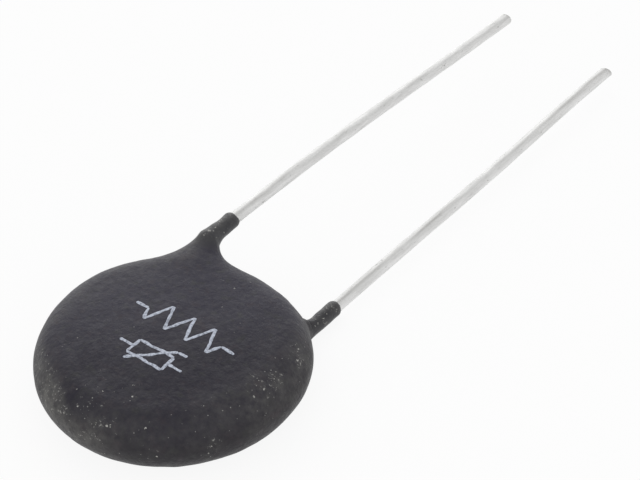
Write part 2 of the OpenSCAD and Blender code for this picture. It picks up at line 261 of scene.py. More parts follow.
coat = {
    # rows and columns round the disc, with a window left out for each sleeve
    "windowCells": 32, "windowOnFace": 8, "windowShare": 0.8, "windowAngle": 20, "mouthInside": 0.6,
    "gapColumns": 28, "restColumns": 180, "faceRows": 20, "middleRows": 7,
    "poleShare": 0.05, "faceShare": 0.78, "underShare": 0.96,
    # rings round each sleeve
    "rootRings": 26, "straightRings": 20, "tipRings": 12,
    "startShare": 0.35, "rootClear": 1.6, "rootEase": 1.3,
    # waves: height, length and seed
    "skinWave": (0.010, 2.6, 3), "grainWave": (0.003, 0.7, 5), "sleeveWave": (0.010, 0.9, 7),
    "sleeveBetween": (0.5, 1.6),  # how far over the disc's skin the sleeve's finish sets in and is full
    "tableBetween": (0.02, 0.5),  # the heights between which the relief sets in
    # the worn shoulder: how far it lies from the edge, its width and depth, and the side where it is
    # deepest, which is also the side the resin's colour darkens towards as painted shade
    "shoulderAt": 1.8, "shoulderWidth": 2.2, "shoulderFall": 0.19, "shoulderBack": 0.2,
    "shoulderAbove": (0.3, 1.2), "drainedTowards": (0.66, -0.75), "drainedBetween": (-4, 4),
    # drips and lumps: centre in mm from the table, radius, height
    "lumps": [((-4.05, 9.75, 4.85), 0.34, 0.08), ((-3.9, 8.2, 5.0), 0.5, 0.03), ((-2.4, 5.2, 4.4), 2.6, 0.2),
              ((4.35, 9.6, 1.1), 0.6, 0.04), ((4.0, 10.2, 1.15), 0.4, 0.03), ((3.95, 7.7, 1.4), 0.5, 0.17)],
    # dust: centre in mm from the table, radius, amount
    "dust": [((-4.3, -7.0, 3.0), 1.3, 1.0), ((-2.7, -7.8, 3.1), 1.2, 0.9), ((-1.3, -8.1, 3.1), 1.0, 0.28),
             ((-5.9, -5.6, 3.2), 1.2, 0.5), ((0.6, -8.3, 2.4), 1.2, 0.5), ((-3.45, 7.5, 5.0), 0.4, 0.6),
             ((1.7, -7.85, 3.4), 0.9, 0.75), ((4.1, -6.8, 3.5), 0.9, 0.6), ((0.5, -7.7, 3.6), 1.2, 0.3),
             ((1.6, -5.2, 4.35), 1.2, 0.45), ((0.0, -6.2, 4.3), 1.3, 0.35), ((6.0, -3.9, 4.0), 1.5, 0.35),
             ((7.3, -0.3, 4.0), 1.1, 0.95), ((7.6, 0.6, 3.8), 0.9, 0.4), ((7.05, 3.6, 3.55), 0.8, 0.85),
             ((7.0, -4.8, 2.2), 1.2, 0.5), ((4.6, -7.2, 2.1), 0.8, 0.3), ((7.5, 2.0, 3.6), 1.1, 0.45),
             ((4.2, 8.9, 1.2), 0.9, 1.0), ((4.1, 9.6, 1.2), 0.7, 0.8), ((-3.5, 7.5, 5.0), 0.7, 0.5),
             ((-4.3, -4.5, 4.3), 0.9, 0.25)],
    # dust everywhere and more on the rim, where it also paints a sheen
    "dustEverywhere": 0.04, "dustAndSheenRim": 0.12, "rimBetween": (6.2, 8.2),  # from the disc's middle
    # a thin grey haze where the resin is rubbed, and a painted sheen along the rim's edges: centre in mm
    # from the table, radius, amount
    "hazeAndSheen": [((-6.1, -5.4, 3.2), 0.9, 0.35), ((-5.0, -6.4, 3.3), 0.9, 0.5), ((-4.2, -6.9, 3.4), 0.8, 0.6),
             ((-3.2, -7.4, 3.4), 0.7, 0.8), ((-2.5, -7.7, 3.2), 0.7, 0.8), ((-3.0, -7.8, 2.7), 0.8, 0.7),
             ((-2.2, -8.1, 2.4), 0.8, 0.6), ((-1.2, -8.4, 2.3), 0.8, 0.5), ((-0.2, -8.5, 2.1), 0.9, 0.5),
             ((0.6, -8.4, 2.3), 1.0, 0.45), ((1.6, -8.0, 3.2), 1.2, 0.3), ((3.0, -7.0, 3.8), 1.1, 0.2),
             ((4.6, -6.2, 3.75), 1.1, 0.15), ((5.9, -4.9, 3.8), 1.1, 0.15), ((6.7, -3.2, 4.0), 1.1, 0.35),
             ((7.4, -1.4, 3.9), 1.2, 0.3), ((8.0, 0.8, 3.5), 1.4, 0.42), ((7.6, 3.4, 3.5), 1.5, 0.45),
             ((6.4, 5.6, 3.8), 1.5, 0.4), ((8.2, -1.6, 2.6), 1.4, 0.25), ((-7.6, -2.6, 3.4), 1.6, 0.25),
             ((-7.4, 2.6, 3.6), 2.2, 0.35), ((-5.6, 5.4, 3.9), 1.8, 0.4), ((-4.6, 6.8, 4.7), 1.1, 0.4),
             ((-3.4, 5.7, 4.5), 1.3, 0.3), ((-6.7, -0.7, 4.25), 1.1, 0.3), ((-6.4, -3.0, 4.1), 0.9, 0.2),
             ((-3.6, 8.4, 4.95), 0.4, 0.5), ((-3.7, 8.9, 4.9), 0.35, 0.4), ((-3.75, 9.7, 4.85), 0.5, 0.6),
             ((4.3, 10.2, 1.1), 0.5, 0.3), ((2.0, -8.25, 1.7), 0.9, 0.4)],
    # single bright specks: centre in mm from the table, radius
    "specks": [((1.80, -7.82, 3.43), 0.08), ((1.95, -7.74, 3.47), 0.05), ((1.69, -7.92, 3.38), 0.045),
               ((2.06, -7.62, 3.5), 0.04), ((4.79, -7.02, 2.07), 0.08), ((7.10, -4.63, 2.38), 0.07),
               ((6.91, -4.93, 1.91), 0.06), ((7.50, -0.34, 3.92), 0.07), ((7.44, -1.13, 3.91), 0.08),
               ((6.93, -0.02, 4.2), 0.05), ((6.78, 3.89, 3.65), 0.07), ((7.29, 3.17, 3.53), 0.09),
               ((0.80, 4.97, 4.5), 0.07), ((1.28, 3.35, 4.5), 0.04), ((1.92, -5.55, 4.25), 0.07),
               ((-1.21, -6.89, 4.05), 0.06), ((1.46, -4.94, 4.3), 0.05), ((0.16, -6.26, 4.2), 0.05),
               ((-0.51, -7.8, 3.67), 0.06), ((6.39, -3.83, 3.96), 0.04), ((3.93, -6.77, 3.66), 0.07),
               ((-3.81, 7.76, 4.93), 0.07), ((-3.46, 7.55, 5.01), 0.11), ((-3.35, 7.75, 4.96), 0.06),
               ((-3.54, 7.19, 4.95), 0.06), ((-3.68, 8.75, 4.9), 0.07), ((-3.70, 8.95, 4.9), 0.05),
               ((-3.82, 9.76, 4.81), 0.05), ((-4.20, -4.53, 4.32), 0.04), ((-3.48, 8.11, 4.94), 0.06),
               ((-3.57, 8.45, 4.92), 0.05), ((4.39, 8.34, 1.04), 0.05), ((4.36, 8.87, 1.07), 0.07),
               ((4.41, 8.01, 1.04), 0.05), ((4.31, 9.23, 1.11), 0.05)],
}


def mouthBearing(lead):
    # the bearing of the middle of a sleeve's window, a little inside the root of the sleeve
    return math.degrees(math.atan2(lead["root"][1] - coat["mouthInside"], lead["root"][0]))


def windowHalf(lead):
    # half of a window's width in degrees: the sleeve and half of its blend, seen from the disc's middle
    return math.degrees((sleeveRadius + lead["blend"] / 2) / float(edgeRadius(mouthBearing(lead))))


def coatGrid():
    # columns are bearings round the disc, rows are a share of the flat face and an angle round the rim
    top, bottom, n = leads["top"], leads["bottom"], coat["windowCells"]
    stops = [mouthBearing(bottom) - windowHalf(bottom), mouthBearing(bottom) + windowHalf(bottom),
             mouthBearing(top) - windowHalf(top), mouthBearing(top) + windowHalf(top)]
    stops.append(stops[0] + 360)
    counts = [n, coat["gapColumns"], n, coat["restColumns"]]
    spans = zip(stops, stops[1:], counts)
    bearings = np.concatenate([np.linspace(a, b, count, endpoint=False) for a, b, count in spans])
    faceRows, middleRows, onFace, tilt = (
        coat[key] for key in ("faceRows", "middleRows", "windowOnFace", "windowAngle"))
    onRim = n - onFace
    groups = [  # shares and angles of each group of rows: face, top window, middle, bottom window, underside
        (np.linspace(coat["poleShare"], coat["faceShare"], faceRows), np.full(faceRows, 90.0)),
        (np.append(np.linspace(coat["windowShare"], 1, onFace, endpoint=False), np.ones(onRim + 1)),
         np.append(np.full(onFace, 90.0), np.linspace(90, tilt, onRim + 1))),
        (np.ones(middleRows), np.linspace(tilt, 0, middleRows + 2)[1:-1]),
        (np.ones(n + 1), np.linspace(0, -90, n + 1)),
        (np.linspace(coat["underShare"], coat["poleShare"], faceRows), np.full(faceRows, -90.0)),
    ]
    share, angle = (np.concatenate([group[k] for group in groups]) for k in (0, 1))
    firstRows = {"top": faceRows, "bottom": sum(len(group[0]) for group in groups[:3])}
    firstColumns = {"top": n + coat["gapColumns"], "bottom": 0}
    out = np.stack([cosDeg(bearings), sinDeg(bearings), 0 * bearings], -1)
    normal = cosDeg(angle)[:, None, None] * out + sinDeg(angle)[:, None, None] * np.array([0, 0, 1])
    flat = (edgeRadius(bearings) - halfThick)[None, :, None] * share[:, None, None] * out
    return walkToSkin(flat + halfThick * normal, normal), firstRows, firstColumns


def windowRing(ids, row, column):
    # point numbers once round a window, from its corner on top at the low bearing
    n = coat["windowCells"]
    step = np.arange(n)
    rows = np.concatenate([row + 0 * step, row + step, row + n + 0 * step, row + n - step])
    columns = np.concatenate([column + step, column + n + 0 * step, column + n - step, column + 0 * step])
    return ids[rows, columns % ids.shape[1]]


def sleeveRings(lead, outline):
    # rings of skin seen from points along the sleeve's axis, turning from the window's outline to circles;
    # the circles start at 45 degrees because the outline starts at a corner
    heading, root = lead["heading"], lead["root"]
    across = unit(np.cross(heading, [0, 0, 1.0]))
    up = np.cross(across, heading)
    turn = 45 + 360 * np.arange(len(outline)) / len(outline)
    circle = cosDeg(turn)[:, None] * across + sinDeg(turn)[:, None] * up
    start = root + (1 - coat["startShare"]) * np.array([0, -body["sleeveDive"], -root[2]])
    end = root + heading * (lead["sleeveLength"] - sleeveRadius)
    clear = root + heading * min(coat["rootClear"], (lead["sleeveLength"] - sleeveRadius) / 2)
    behind, ahead = lengthOf(root - start), lengthOf(clear - root)
    share = np.arange(1, coat["rootRings"] + 1) / coat["rootRings"]
    gone = share * (behind + ahead)
    inner = start + (root - start) * (np.minimum(gone, behind) / behind)[:, None]
    outer = heading * np.maximum(gone - behind, 0)[:, None]
    eased = (share ** coat["rootEase"])[:, None, None]
    opening = unit(unit(outline - start) * (1 - eased) + circle * eased)
    rootPart = walkToSkin((inner + outer)[:, None], opening)
    share = np.arange(1, coat["straightRings"] + 1) / coat["straightRings"]
    straightPart = walkToSkin((clear + (end - clear) * share[:, None])[:, None], circle)
    fall = 90 * np.arange(1, coat["tipRings"] + 1) / (coat["tipRings"] + 1)
    closing = cosDeg(fall)[:, None, None] * circle + sinDeg(fall)[:, None, None] * heading
    tipPart = walkToSkin(end, closing)
    return np.concatenate([rootPart, straightPart, tipPart]), end + sleeveRadius * heading


def coatSkin():
    # the grid round the disc with its two windows, rings of skin from each window to the tip of its sleeve,
    # and a fan to close each pole and tip
    grid, firstRows, firstColumns = coatGrid()
    rows, columns = grid.shape[:2]
    ids = np.arange(rows * columns).reshape(rows, columns)
    keep = np.ones((rows - 1, columns), bool)
    n = coat["windowCells"]
    for key in leads:
        keep[firstRows[key]:firstRows[key] + n, firstColumns[key]:firstColumns[key] + n] = False
    poles = np.array([[0, 0, halfThick + body["faceRise"]], [0, 0, -halfThick]])
    points = [grid.reshape(-1, 3), poles]
    quads = [gridFaces(ids).reshape(rows - 1, columns, 4)[keep]]
    triangles = [fanFaces(ids.size, ids[0]), fanFaces(ids.size + 1, ids[-1][::-1])]
    count = ids.size + len(poles)
    for key, lead in leads.items():
        ring = windowRing(ids, firstRows[key], firstColumns[key])
        rings, cap = sleeveRings(lead, points[0][ring])
        ringIds = count + np.arange(rings[..., 0].size).reshape(rings.shape[:2])
        quads.append(gridFaces(np.vstack([ring, ringIds])))
        count += ringIds.size + 1
        triangles.append(fanFaces(count - 1, ringIds[-1][::-1]))
        points += [rings.reshape(-1, 3), cap[None]]
    return np.concatenate(points), np.concatenate(quads).tolist() + np.concatenate(triangles).tolist()


def shoulderWear(p):
    # how much lower the skin lies where the upper face turns into the rim: a bell over the distance to the
    # edge, deepest on the side that the resin drained towards
    fromEdge = edgeBeside(p) - np.hypot(p[..., 0], p[..., 1])
    bell = np.exp(-((fromEdge - coat["shoulderAt"]) / coat["shoulderWidth"]) ** 2)
    towards = smoothStep(p[..., :2] @ coat["drainedTowards"], *coat["drainedBetween"])
    drained = coat["shoulderBack"] + (1 - coat["shoulderBack"]) * towards
    return coat["shoulderFall"] * bell * drained * smoothStep(p[..., 2], *coat["shoulderAbove"])


def skinRelief(placed, onSleeve):
    # how far the skin stands off the formula's: waves and grain, less the worn shoulder, and drips and lumps
    skin, grain, sleeve = (coat[key][0] * ripple(placed, *coat[key][1:])
                           for key in ("skinWave", "grainWave", "sleeveWave"))
    push = skin * (1 - onSleeve) + grain + sleeve * onSleeve
    return push - shoulderWear(placed - lift) + bumps(placed, coat["lumps"])


def makeCoat():
    # the skin moved along its normals by its relief, which fades out just over the table
    points, faces = coatSkin()
    onSleeve = smoothStep(discDepth(points), *coat["sleeveBetween"])
    placed = points + lift
    push = skinRelief(placed, onSleeve) * smoothStep(placed[:, 2], *coat["tableBetween"])
    placed = placed + skinNormal(points) * push[:, None]
    onRim = smoothStep(np.hypot(placed[:, 0], placed[:, 1]), *coat["rimBetween"])
    # the rim's extra dust and the haze on the rim's edges are partly painted sheen
    dust = coat["dustEverywhere"] + coat["dustAndSheenRim"] * onRim + bumps(placed, coat["dust"])
    hazeAndSheen = bumps(placed, coat["hazeAndSheen"])
    piece = makePiece("resin_coat", placed, faces, ["coating"],
                      {"sleeve": onSleeve, "dust": np.clip(dust, 0, 1), "hazeAndSheen": np.clip(hazeAndSheen, 0, 1)})
    # each single speck moves to the nearest point of the finished skin
    nearest = [np.argmin(lengthOf(placed - np.array(centre))) for centre, _ in coat["specks"]]
    return piece, [(placed[k], radius) for k, (_, radius) in zip(nearest, coat["specks"])]


coatPiece, specksOnSkin = makeCoat()
print("resin coat:", len(coatPiece.data.polygons), "faces")

# the two leads

wire = {
    "around": 48, "straightStep": 0.35, "bendSteps": 12, "wave": 0.006, "waveLength": 3.0, "waveFade": 3,
    "edge": 0.035, "pinch": 0.05, "pinchSpread": 0.6, "pinchLength": 0.5, "darkEndLength": 0.3,
    # the last rings, over the rounded edge and the cut face: their share of the wire's radius,
    # and how many edges past the line's end they lie
    "endShare": (1.0, 0.985, 0.94, 0.8, 0.5, 0.2), "endStep": (-1, -0.4, 0, 0.1, 0.3, 0.3),
}

# the painted shade line near the top of the wire: its side in radians, its width, and its strength at places
# along y in mm
shadeLines = {
    "top": {"at": 1.25, "width": 0.3, "y": [10, 12, 14.5, 17, 26, 28.5, 31, 41],
            "amount": [0.3, 0.35, 0.45, 0.05, 0.05, 0.3, 0.0, 0.0]},
    "bottom": {"at": 1.34, "width": 0.28, "y": [10, 13, 15, 17.5, 19.7, 22, 24, 31, 35, 38, 41],
               "amount": [0.5, 0.5, 0.45, 0.15, 0.7, 0.55, 0.05, 0.1, 0.38, 0.48, 0.4]},
}
wireTurn = 2 * math.pi * np.arange(wire["around"]) / wire["around"]  # 0 is sideways, a quarter turn is up


def leadPath(lead):
    # the wire's middle line in its own upright plane: straight runs with arcs of one radius at the corners
    rise = lead["rise"]
    corners = [np.array([-lead["root"][1] - body["innerEnd"], runHeight])]
    if rise > 0:
        corners.append(np.array([-rise / math.tan(math.radians(lead["slope"])), runHeight]))
    corners.append(np.array([0, runHeight + rise]))
    reach = lead["sleeveLength"] + lead["bare"]
    corners.append(corners[-1] + reach * np.array([cosDeg(lead["dip"]), -sinDeg(lead["dip"])]))
    ways = [unit(b - a) for a, b in zip(corners, corners[1:])]
    turns = [math.atan2(a[0] * b[1] - a[1] * b[0], a @ b) for a, b in zip(ways, ways[1:])]
    cuts = [0] + [body["bendRadius"] * math.tan(abs(t) / 2) for t in turns] + [0]
    line, tangents = [], []
    for i, way in enumerate(ways):
        low, high = corners[i] + way * cuts[i], corners[i + 1] - way * cuts[i + 1]
        count = max(int(lengthOf(high - low) / wire["straightStep"]), 2)
        line.append(low + (high - low) * np.linspace(0, 1, count + 1)[:, None])
        tangents.append(np.broadcast_to(way, (count + 1, 2)))
        if i < len(turns):
            bend = np.linspace(0, turns[i], wire["bendSteps"] + 2)[1:-1]
            normal = np.array([-way[1], way[0]]) * np.sign(turns[i])
            along = np.sin(np.abs(bend))[:, None] * way + (1 - np.cos(bend))[:, None] * normal
            line.append(high + body["bendRadius"] * along)
            tangents.append(np.cos(bend)[:, None] * way + np.sin(np.abs(bend))[:, None] * normal)
    line = np.concatenate(line)
    # the wire leaves its sleeve nearly in the middle and then strays by part of a sine wave
    size, waves, start, growth = lead["bow"]
    out = np.clip((line[:, 0] - lead["sleeveLength"]) / lead["bare"], 0, 1)
    stray = size * out ** growth * np.sin(math.pi * (waves * out + start))
    line[:, 1] += lead["side"] * stray * smoothStep(line[:, 0], 0, lead["sleeveLength"])
    return line, np.concatenate(tangents)


def leadRings(lead, seed):
    # a circle carried along the wire's middle line, pinched a little where it was cut; gives the rings,
    # the middles of both ends, and how far each ring is from the tip
    line, tangents = leadPath(lead)
    level = np.array([1, 1, 0])
    ahead = unit(lead["heading"] * level)
    side = np.array([ahead[1], -ahead[0], 0])
    upward = np.array([0, 0, lead["side"]])
    centres = lead["root"] * level + line[:, :1] * ahead + line[:, 1:] * upward
    tangent = tangents[:, :1] * ahead + tangents[:, 1:] * upward
    normal = np.cross(side, tangent)
    walked = np.append(0, np.cumsum(lengthOf(np.diff(centres, axis=0))))
    endShare, endStep = np.array(wire["endShare"]), wire["edge"] * np.array(wire["endStep"])
    fromTip = np.append(walked[-1] - walked[:-1], 0 * endShare)
    widths = np.append(np.ones(len(line) - 1), endShare)
    centres = np.concatenate([centres[:-1], centres[-1] + endStep[:, None] * tangent[-1]])
    tangent, normal = (np.append(v[:-1], np.repeat(v[-1:], len(endShare), 0), 0) for v in (tangent, normal))
    pinched = wire["pinch"] * np.exp(-(fromTip / wire["pinchLength"]) ** 2)
    sideways = wireRadius * widths * (1 + pinched * wire["pinchSpread"])
    upwards = wireRadius * widths * (1 - pinched)
    rings = (centres[:, None] + (sideways[:, None] * np.cos(wireTurn))[..., None] * side
             + (upwards[:, None] * np.sin(wireTurn))[..., None] * normal[:, None])
    # the cutter's face is a slanted plane, which only ever takes wire away
    slant, standsOut, _ = lead["cut"]
    lean = np.zeros((len(widths), len(wireTurn)))
    lean[-len(endShare):] = slant / 2 * (endShare[:, None] * np.cos(wireTurn - math.radians(standsOut)) - 1)
    rings = rings + lean[..., None] * tangent[:, None]
    # the bare wire is a little wavy
    bare = smoothStep(centres[:, 1], coatRadius, coatRadius + wire["waveFade"]) * widths
    stray = wire["wave"] * ripple(rings, wire["waveLength"], seed) * bare[:, None]
    rings = rings + unit(rings - centres[:, None]) * stray[..., None]
    return rings, np.array([centres[0], centres[-1] - slant / 2 * tangent[-1]]), fromTip


def makeLead(name, node, key, seed):
    # the rings with a fan over each end; a painted shade line runs near the top of the wire and comes and
    # goes, and the wire darkens at its end
    rings, ends, fromTip = leadRings(leads[key], seed)
    ids = np.arange(rings[..., 0].size).reshape(rings.shape[:2])
    fans = [fanFaces(ids.size, ids[0]), fanFaces(ids.size + 1, ids[-1][::-1])]
    faces = gridFaces(ids).tolist() + np.concatenate(fans).tolist()
    streak, darkEnd = shadeLines[key], leads[key]["cut"][2]
    off = (wireTurn - streak["at"] + math.pi) % (2 * math.pi) - math.pi
    strength = np.interp(rings[:, 0, 1], streak["y"], streak["amount"])
    atEnd = darkEnd * np.exp(-(fromTip / wire["darkEndLength"]) ** 2)
    shadeLineAndDarkEnd = strength[:, None] * np.exp(-(off / streak["width"]) ** 2) + atEnd[:, None]
    shadeLineAndDarkEnd = np.clip(np.append(shadeLineAndDarkEnd.ravel(), [0, darkEnd]), 0, 1)
    points = np.concatenate([rings.reshape(-1, 3), ends]) + lift
    return makePiece(name, points, faces, [node], {"shadeLineAndDarkEnd": shadeLineAndDarkEnd})


leadPieces = [makeLead("tinned_lead_top", "lead_top", "top", seed=11),
              makeLead("tinned_lead_bottom", "lead_bottom", "bottom", seed=13)]
print("leads:", [len(piece.data.polygons) for piece in leadPieces], "faces")

# the print on the face

mark = {
    "strokeWidth": 0.2, "inkHeight": 0.012, "sunk": 0.02, "step": 0.06, "fewestSteps": 6, "profilePoints": 5,
    # the shaky hand: how far the strokes stray and over what length, and how much their width wanders
    "wobble": 0.014, "wobbleLength": 0.9, "wobbleSeeds": (31, 32),
    "wander": 0.12, "wanderLength": 0.5, "wanderSeed": 40,
    # the middle of each row, then half width, half height and half length over the straight ends
    "rowOne": (0.62, -2.5), "rowTwo": (0.65, 0.52),
    "box": (1.35, 0.6, 2.45), "zigzag": (2.9, 0.95, 3.9), "zigzagTurns": 7,
    "slant": [(-1.95, -1.1), (-1.25, -1.1), (1.2, 1.1)],
}


def onPlane(points):
    # points of the plane as points of space
    return np.pad(points, ((0, 0), (0, 1)))


def straightStroke(a, b):
    # points from a to b
    a, b = np.array(a, float), np.array(b, float)
    count = max(int(lengthOf(b - a) / mark["step"]), mark["fewestSteps"])
    return a + (b - a) * np.linspace(0, 1, count + 1)[:, None]


def brokenLine(corners):
    # a straight stroke between each corner and the next
    return [straightStroke(a, b) for a, b in zip(corners, corners[1:])]


def strokesOfMark():
    # two plain circuit symbols, u to the right and v up: a box with a slanted stroke,
    # and a zigzag between straight ends
    wide, high, reach = mark["box"]
    rowOne = brokenLine([(-wide, -high), (wide, -high), (wide, high), (-wide, high), (-wide, -high)])
    rowOne += brokenLine([(-reach, 0), (-wide, 0)]) + brokenLine([(wide, 0), (reach, 0)])
    rowOne += brokenLine(mark["slant"])
    wide, high, reach = mark["zigzag"]
    step = wide / mark["zigzagTurns"]
    peaks = [(-wide + step * (2 * k + 1), high * (-1) ** k) for k in range(mark["zigzagTurns"])]
    rowTwo = brokenLine([(-reach, 0), (-wide, 0)] + peaks + [(wide, 0), (reach, 0)])
    placed = []
    for strokes, middle in ((rowOne, mark["rowOne"]), (rowTwo, mark["rowTwo"])):
        for stroke in strokes:
            shake = [ripple(onPlane(stroke), mark["wobbleLength"], seed) for seed in mark["wobbleSeeds"]]
            placed.append(np.array(middle) - stroke - mark["wobble"] * np.stack(shake, -1))
    return placed


def faceHeight(flat):
    # where the skin of the upper face lies over points of the plane, its relief included
    start = np.concatenate([flat, np.full(flat.shape[:-1] + (1,), halfThick)], -1)
    found = walkToSkin(start, np.array([0, 0, 1.0])) + lift
    return found[..., 2] + skinRelief(found, 0)


def strokeSurface(path, seed):
    # a flat lens carried along a path, narrowing to a half circle at each end
    way = unit(np.gradient(path, axis=0))
    left = np.stack([-way[:, 1], way[:, 0]], -1)
    walked = np.append(0, np.cumsum(lengthOf(np.diff(path, axis=0))))
    half = mark["strokeWidth"] / 2 * (1 + mark["wander"] * ripple(onPlane(path), mark["wanderLength"], seed))
    toEnd = np.minimum(walked, walked[-1] - walked)
    half = half * np.sqrt(np.clip(1 - (1 - np.minimum(toEnd / half, 1)) ** 2, 0, 1))
    across = np.linspace(-1, 1, mark["profilePoints"])
    over = path[:, None] + (half[:, None] * across)[..., None] * left[:, None]
    height = mark["inkHeight"] * np.sqrt(1 - across ** 2) * (half / (mark["strokeWidth"] / 2))[:, None]
    base = faceHeight(over)
    upper = np.concatenate([over, (base + height)[..., None]], -1)
    lower = np.concatenate([over, (base - mark["sunk"])[..., None]], -1)[:, ::-1]
    return np.concatenate([upper, lower], 1)


def makeMark():
    # the surface of each stroke, closed by a fan at each end
    points, faces, count = [], [], 0
    for number, path in enumerate(strokesOfMark()):
        rings = strokeSurface(path, mark["wanderSeed"] + number)
        ids = count + np.arange(rings[..., 0].size).reshape(rings.shape[:2])
        count += ids.size + 2
        points += [rings.reshape(-1, 3), rings[0].mean(0)[None], rings[-1].mean(0)[None]]
        faces += gridFaces(ids).tolist()
        faces += fanFaces(count - 2, ids[0]).tolist() + fanFaces(count - 1, ids[-1][::-1]).tolist()
    return makePiece("printed_mark", np.concatenate(points), faces)


markPiece = makeMark()
print("print:", len(markPiece.data.polygons), "faces")


# materials

def newMaterial(name):
    material = bpy.data.materials.new(name)
    material.use_nodes = True
    tree = material.node_tree
    return material, tree, tree.nodes["Principled BSDF"]


def addNode(tree, kind, values=None, **settings):
    # each value is either linked to its socket or written into it
    node = tree.nodes.new(kind)
    for key, value in settings.items():
        setattr(node, key, value)
    for key, value in (values or {}).items():
        if isinstance(value, bpy.types.NodeSocket):
            tree.links.new(value, node.inputs[key])
        else:
            node.inputs[key].default_value = value
    return node


def mmCoordinates(tree, scale=(1000, 1000, 1000)):
    # the place on the piece in mm, or in other units along some axes
    place = addNode(tree, "ShaderNodeTexCoord").outputs["Object"]
    return addNode(tree, "ShaderNodeMapping", {"Vector": place, "Scale": scale}).outputs["Vector"]


def drawnOut(tree, across, along):
    # coordinates for patterns that are drawn out along the wires
    return mmCoordinates(tree, (across, along, across))


def noise(tree, vector, scale, detail, roughness):
    values = {"Vector": vector, "Scale": scale, "Detail": detail, "Roughness": roughness}
    return addNode(tree, "ShaderNodeTexNoise", values).outputs["Fac"]


def mathNode(tree, operation, a, b=0.0, clamp=False):
    return addNode(tree, "ShaderNodeMath", {0: a, 1: b}, operation=operation, use_clamp=clamp).outputs[0]


def plus(tree, a, b):
    return mathNode(tree, "ADD", a, b)


def times(tree, a, b):
    return mathNode(tree, "MULTIPLY", a, b)


def ranged(tree, value, low, high, toLow=0.0, toHigh=1.0):
    values = {"Value": value, "From Min": low, "From Max": high, "To Min": toLow, "To Max": toHigh}
    return addNode(tree, "ShaderNodeMapRange", values).outputs["Result"]


def mixColour(tree, factor, a, b):
    # sockets 0, 6 and 7 of this node are the factor and its two colours
    return addNode(tree, "ShaderNodeMix", {0: factor, 6: a, 7: b}, data_type="RGBA").outputs[2]


def bumped(tree, height, strength, distance, under=None):
    # bends the normal by a height, on top of the normal that is given
    values = {"Height": height, "Strength": strength, "Distance": distance}
    if under is not None:
        values["Normal"] = under
    return addNode(tree, "ShaderNodeBump", values).outputs["Normal"]


def attribute(tree, name):
    return addNode(tree, "ShaderNodeAttribute", attribute_name=name).outputs["Fac"]


resin = {
    "face": (0.0080, 0.0060, 0.0210, 1), "faceLight": (0.0185, 0.0162, 0.0325, 1),
    # the drained and lower colours are painted shade, darker towards one side of the face and low on the rim
    "drained": (0.0042, 0.0022, 0.0125, 1), "lower": (0.0026, 0.0006, 0.0048, 1),
    "warm": (0.0235, 0.014, 0.0205, 1), "olive": (0.0160, 0.0165, 0.0155, 1),
    "sleeve": (0.0265, 0.0265, 0.031, 1), "dust": (0.40, 0.395, 0.37, 1), "film": (0.105, 0.102, 0.096, 1),
    # noises: scale per mm, detail, roughness
    "cloud": (0.5, 4.0, 0.55), "mottle": (3.2, 3.0, 0.65), "hue": (1.4, 3.0, 0.6), "clump": (1.3, 3.0, 0.6),
    "rub": (2.0, 4.0, 0.65), "grit": (6.0, 3.0, 0.7), "lump": (2.2, 3.0, 0.55),
    # spans that are stretched to 0 and 1, or to the last two numbers
    "cloudSpan": (0.35, 0.65), "mottleSpan": (0.36, 0.64),
    # the painted shade's spans: along the side it darkens towards, and down the rim in mm
    "drainedSpan": (-1.5, 3.5), "rimShadeSpan": (3.7, 2.4),
    "warmSpan": (0.54, 0.72, 0.0, 0.5), "oliveSpan": (0.46, 0.30, 0.0, 0.5),
    "clumpSpan": (0.38, 0.62, 0.25, 1.6), "rubSpan": (0.36, 0.62, 0.45, 1.35),
    "scuffSpan": (0, 1, 0.80, 0.57), "dotSpan": (0, 1, 0.20, 0.34), "dotPaleSpan": (0, 1, 0.1, 0.75),
    "cloudShare": 0.4, "mottleShare": 0.6, "drainedCloud": 1.5, "filmRubbedAndSheen": 0.6, "filmDust": 0.15,
    "scuffGain": 9.0, "scuffPale": 0.75, "dotsPerMm": 3.9, "dotRagged": 0.35,
    # how far in mm the outline of a speck strays, over what scale per mm, and its core's share of the radius
    "tear": 0.25, "tearScale": 7.0, "tearDetail": 2.0, "speckCore": 0.5,
    "roughness": 0.58, "sleeveRoughness": 0.42, "mottleRoughness": 0.06, "paleRoughness": 0.25,
    "gloss": 0.42, "sheen": 0.1, "sheenRoughness": 0.35,
    # bumps: strength, and height in m
    "gritBump": (0.4, 0.00005), "lumpBump": (0.55, 0.0001), "paleBump": (0.4, 0.00003),
}


